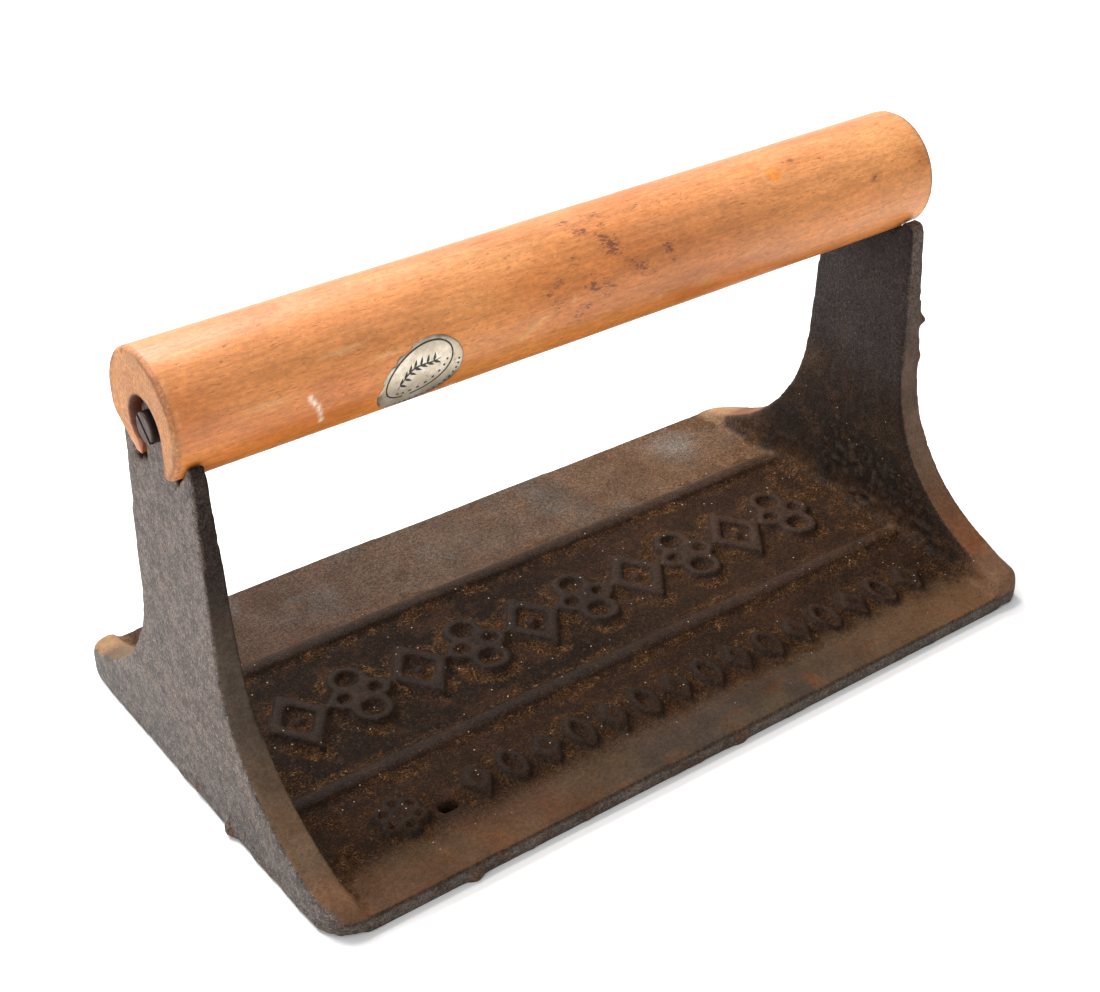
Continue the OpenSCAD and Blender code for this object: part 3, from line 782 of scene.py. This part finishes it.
def build_label():
    """The foil oval, torn at its upper edge, with its printing as thin raised ink."""
    rings, spokes = 26, 180
    turn = np.arange(spokes) * 2 * math.pi / spokes
    torn = step(np.cos(turn - 2.0), 0.55, 0.95)
    flat = np.stack([60 * np.cos(turn), 60 * np.sin(turn), 0 * turn], 1)
    nibble = 0.006 * lumps(flat, 5, 107) - torn * (0.03 + 0.075 * step(lumps(flat, 7, 109), -0.1, 0.35))
    verts, grime_and_shade = [], []
    for k in range(1, rings + 1):
        s = (k / rings) ** 0.8
        reach = s * (1 + nibble * step(s, 0.75, 1.0))
        lift = FOIL_LIFT if k < rings else 0.0
        u, v = LABEL_LONG * reach * np.cos(turn), LABEL_SHORT * reach * np.sin(turn)
        crinkle = 0.012 * rough(np.stack([u, v, 0 * u], 1), 3, 113)
        verts.append(on_dowel(u, v, lift + crinkle * (k < rings)))
        # grime along the torn edge, and painted shade over the lower part of the oval
        soiled = 0.25 + 0.5 * step(lumps(np.stack([u, v, u], 1), 2, 117), -0.2, 0.6)
        grime_and_shade.append(step(s, 0.8, 1.0) * soiled + 0.55 * step(v, -4.5, -8.0))
    faces = [(k * spokes + i, (k + 1) * spokes + i, (k + 1) * spokes + (i + 1) % spokes,
              k * spokes + (i + 1) % spokes) for k in range(rings - 1) for i in range(spokes)]
    faces.append(tuple(range(spokes)))
    faces.append(tuple(reversed(range((rings - 1) * spokes, rings * spokes))))
    mesh = mesh_from("label", np.concatenate(verts), faces)
    set_mask(mesh, "grime_and_shade", np.concatenate(grime_and_shade))
    mesh.polygons[len(mesh.polygons) - 1].use_smooth = False
    foil = add("oval_label", mesh, aged_foil())
    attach(foil, "root")
    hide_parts("label")

    # printing: a thin oval line, a leafy sprig, and two rows of dashes under it
    verts, faces = [], []

    def stroke(points, width):
        """A flat ribbon of ink along points, as wide as width at each of them."""
        p = np.array(points, float)
        d = np.gradient(p, axis=0)
        off = np.stack([-d[:, 1], d[:, 0]], 1) / np.maximum(np.linalg.norm(d, axis=1), 1e-9)[:, None]
        off *= (np.broadcast_to(width, len(p)) / 2)[:, None]
        first = len(verts)
        for q, o in zip(p, off):
            verts.extend(on_dowel(*(q + side * o), lift)
                         for lift in (INK_FACE, INK_BACK) for side in (-1, 1))
        for i in range(first, len(verts) - 4, 4):
            faces.extend([(i, i + 4, i + 5, i + 1), (i + 2, i + 3, i + 7, i + 6),
                          (i, i + 2, i + 6, i + 4), (i + 1, i + 5, i + 7, i + 3)])
        faces.extend([(first, first + 1, first + 3, first + 2),
                      (len(verts) - 4, len(verts) - 2, len(verts) - 1, len(verts) - 3)])

    a = np.linspace(math.radians(-118), math.radians(228), 140)
    stroke(np.stack([0.35 + 9.4 * np.cos(a), 1.9 + 5.8 * np.sin(a)], 1), 0.42)
    t = np.linspace(0, 1, 40)
    stem = np.stack([-6.4 + 12.6 * t, 2.0 + 1.3 * np.sin(5.2 * t - 0.6) + 0.6 * t], 1)
    stroke(stem, 0.14 + 0.3 * np.sin(math.pi * t))
    for k in range(3, 38, 5):
        for turn_side in (-1, 1):
            s = np.linspace(0, 1, 9)
            heading = 0.75 * turn_side
            leaf = stem[k] + 1.9 * s[:, None] * np.array([math.cos(heading), math.sin(heading)])
            leaf[:, 1] += turn_side * 0.35 * s * s
            stroke(leaf, 0.05 + 0.62 * np.sin(math.pi * s ** 0.8))
    for k in range(9):
        a = math.radians(-150 + 15 * k)
        s = np.linspace(-0.045, 0.045, 5)
        stroke(np.stack([0.35 + 8.2 * np.cos(a + s), 1.9 + 4.4 * np.sin(a + s)], 1), 0.5)
    for k in range(15):
        a = math.radians(-140 + 8.4 * k)
        s = np.linspace(-0.03, 0.03, 5)
        stroke(np.stack([0.2 + 10.7 * np.cos(a + s), 0.5 + 7.9 * np.sin(a + s)], 1), 0.55)
    ink = add("label_print", mesh_from("label_print", verts, faces), label_ink())
    ink.data.polygons.foreach_set("use_smooth", [False] * len(ink.data.polygons))
    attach(ink, "root")


def build_screws():
    """The screws keep their own shape and get a dark steel."""
    steel = tarnished_steel()
    for node in ("left_screw", "right_screw"):
        NODES[node].data.materials.clear()
        NODES[node].data.materials.append(steel)


# ---------------------------------------------------------------- studio

CAMERA_PLACE = (-0.2486, -0.3369, 0.3121)
CAMERA_ANGLES = (35.96, 32.62, -0.55)  # degrees right of +Y, down, and of roll
CAMERA_LENS = 61.451
FLOOR_HALF, FLOOR_Z = 9000, -0.02  # the floor lies just clear of the pressing face


def build_studio():
    yaw, pitch, roll = (math.radians(a) for a in CAMERA_ANGLES)
    ahead = Vector((math.sin(yaw) * math.cos(pitch), math.cos(yaw) * math.cos(pitch), -math.sin(pitch)))
    level = Vector((math.cos(yaw), -math.sin(yaw), 0))
    above = level.cross(ahead)
    right = level * math.cos(roll) + above * math.sin(roll)
    up = above * math.cos(roll) - level * math.sin(roll)
    camera = bpy.data.objects.new("camera", bpy.data.cameras.new("camera"))
    bpy.context.scene.collection.objects.link(camera)
    camera.data.lens = CAMERA_LENS
    camera.data.sensor_width = 36
    camera.data.clip_start = 0.01
    place = Matrix((right, up, -ahead)).transposed().to_4x4()
    place.translation = Vector(CAMERA_PLACE)
    camera.matrix_world = place
    bpy.context.scene.camera = camera

    world = bpy.data.worlds.new("studio")
    world.use_nodes = True
    world.node_tree.nodes["Background"].inputs[0].default_value = (1, 1, 1, 1)
    world.node_tree.nodes["Background"].inputs[1].default_value = 0.55
    bpy.context.scene.world = world
    bpy.context.scene.view_settings.view_transform = "Standard"

    def softbox(name, place, size, watts, aim=(0, 0, 0.04)):
        lamp = bpy.data.objects.new(name, bpy.data.lights.new(name, "AREA"))
        lamp.data.shape = "RECTANGLE"
        lamp.data.size, lamp.data.size_y = size
        lamp.data.energy = watts
        lamp.location = place
        lamp.rotation_euler = (Vector(aim) - Vector(place)).to_track_quat("-Z", "Y").to_euler()
        bpy.context.scene.collection.objects.link(lamp)

    softbox("key_light", (-0.12, 0.8, 1.2), (0.9, 0.9), 42)
    softbox("side_light", (-1.2, -0.5, 0.6), (0.8, 0.8), 7)

    corners = [(FLOOR_HALF * sx, FLOOR_HALF * sy, FLOOR_Z)
               for sx, sy in ((-1, -1), (1, -1), (1, 1), (-1, 1))]
    floor = add("studio_floor", mesh_from("floor", corners, [(0, 1, 2, 3)]), white_floor())


build_studio()
build_casting()
build_handle()
build_label()
build_screws()
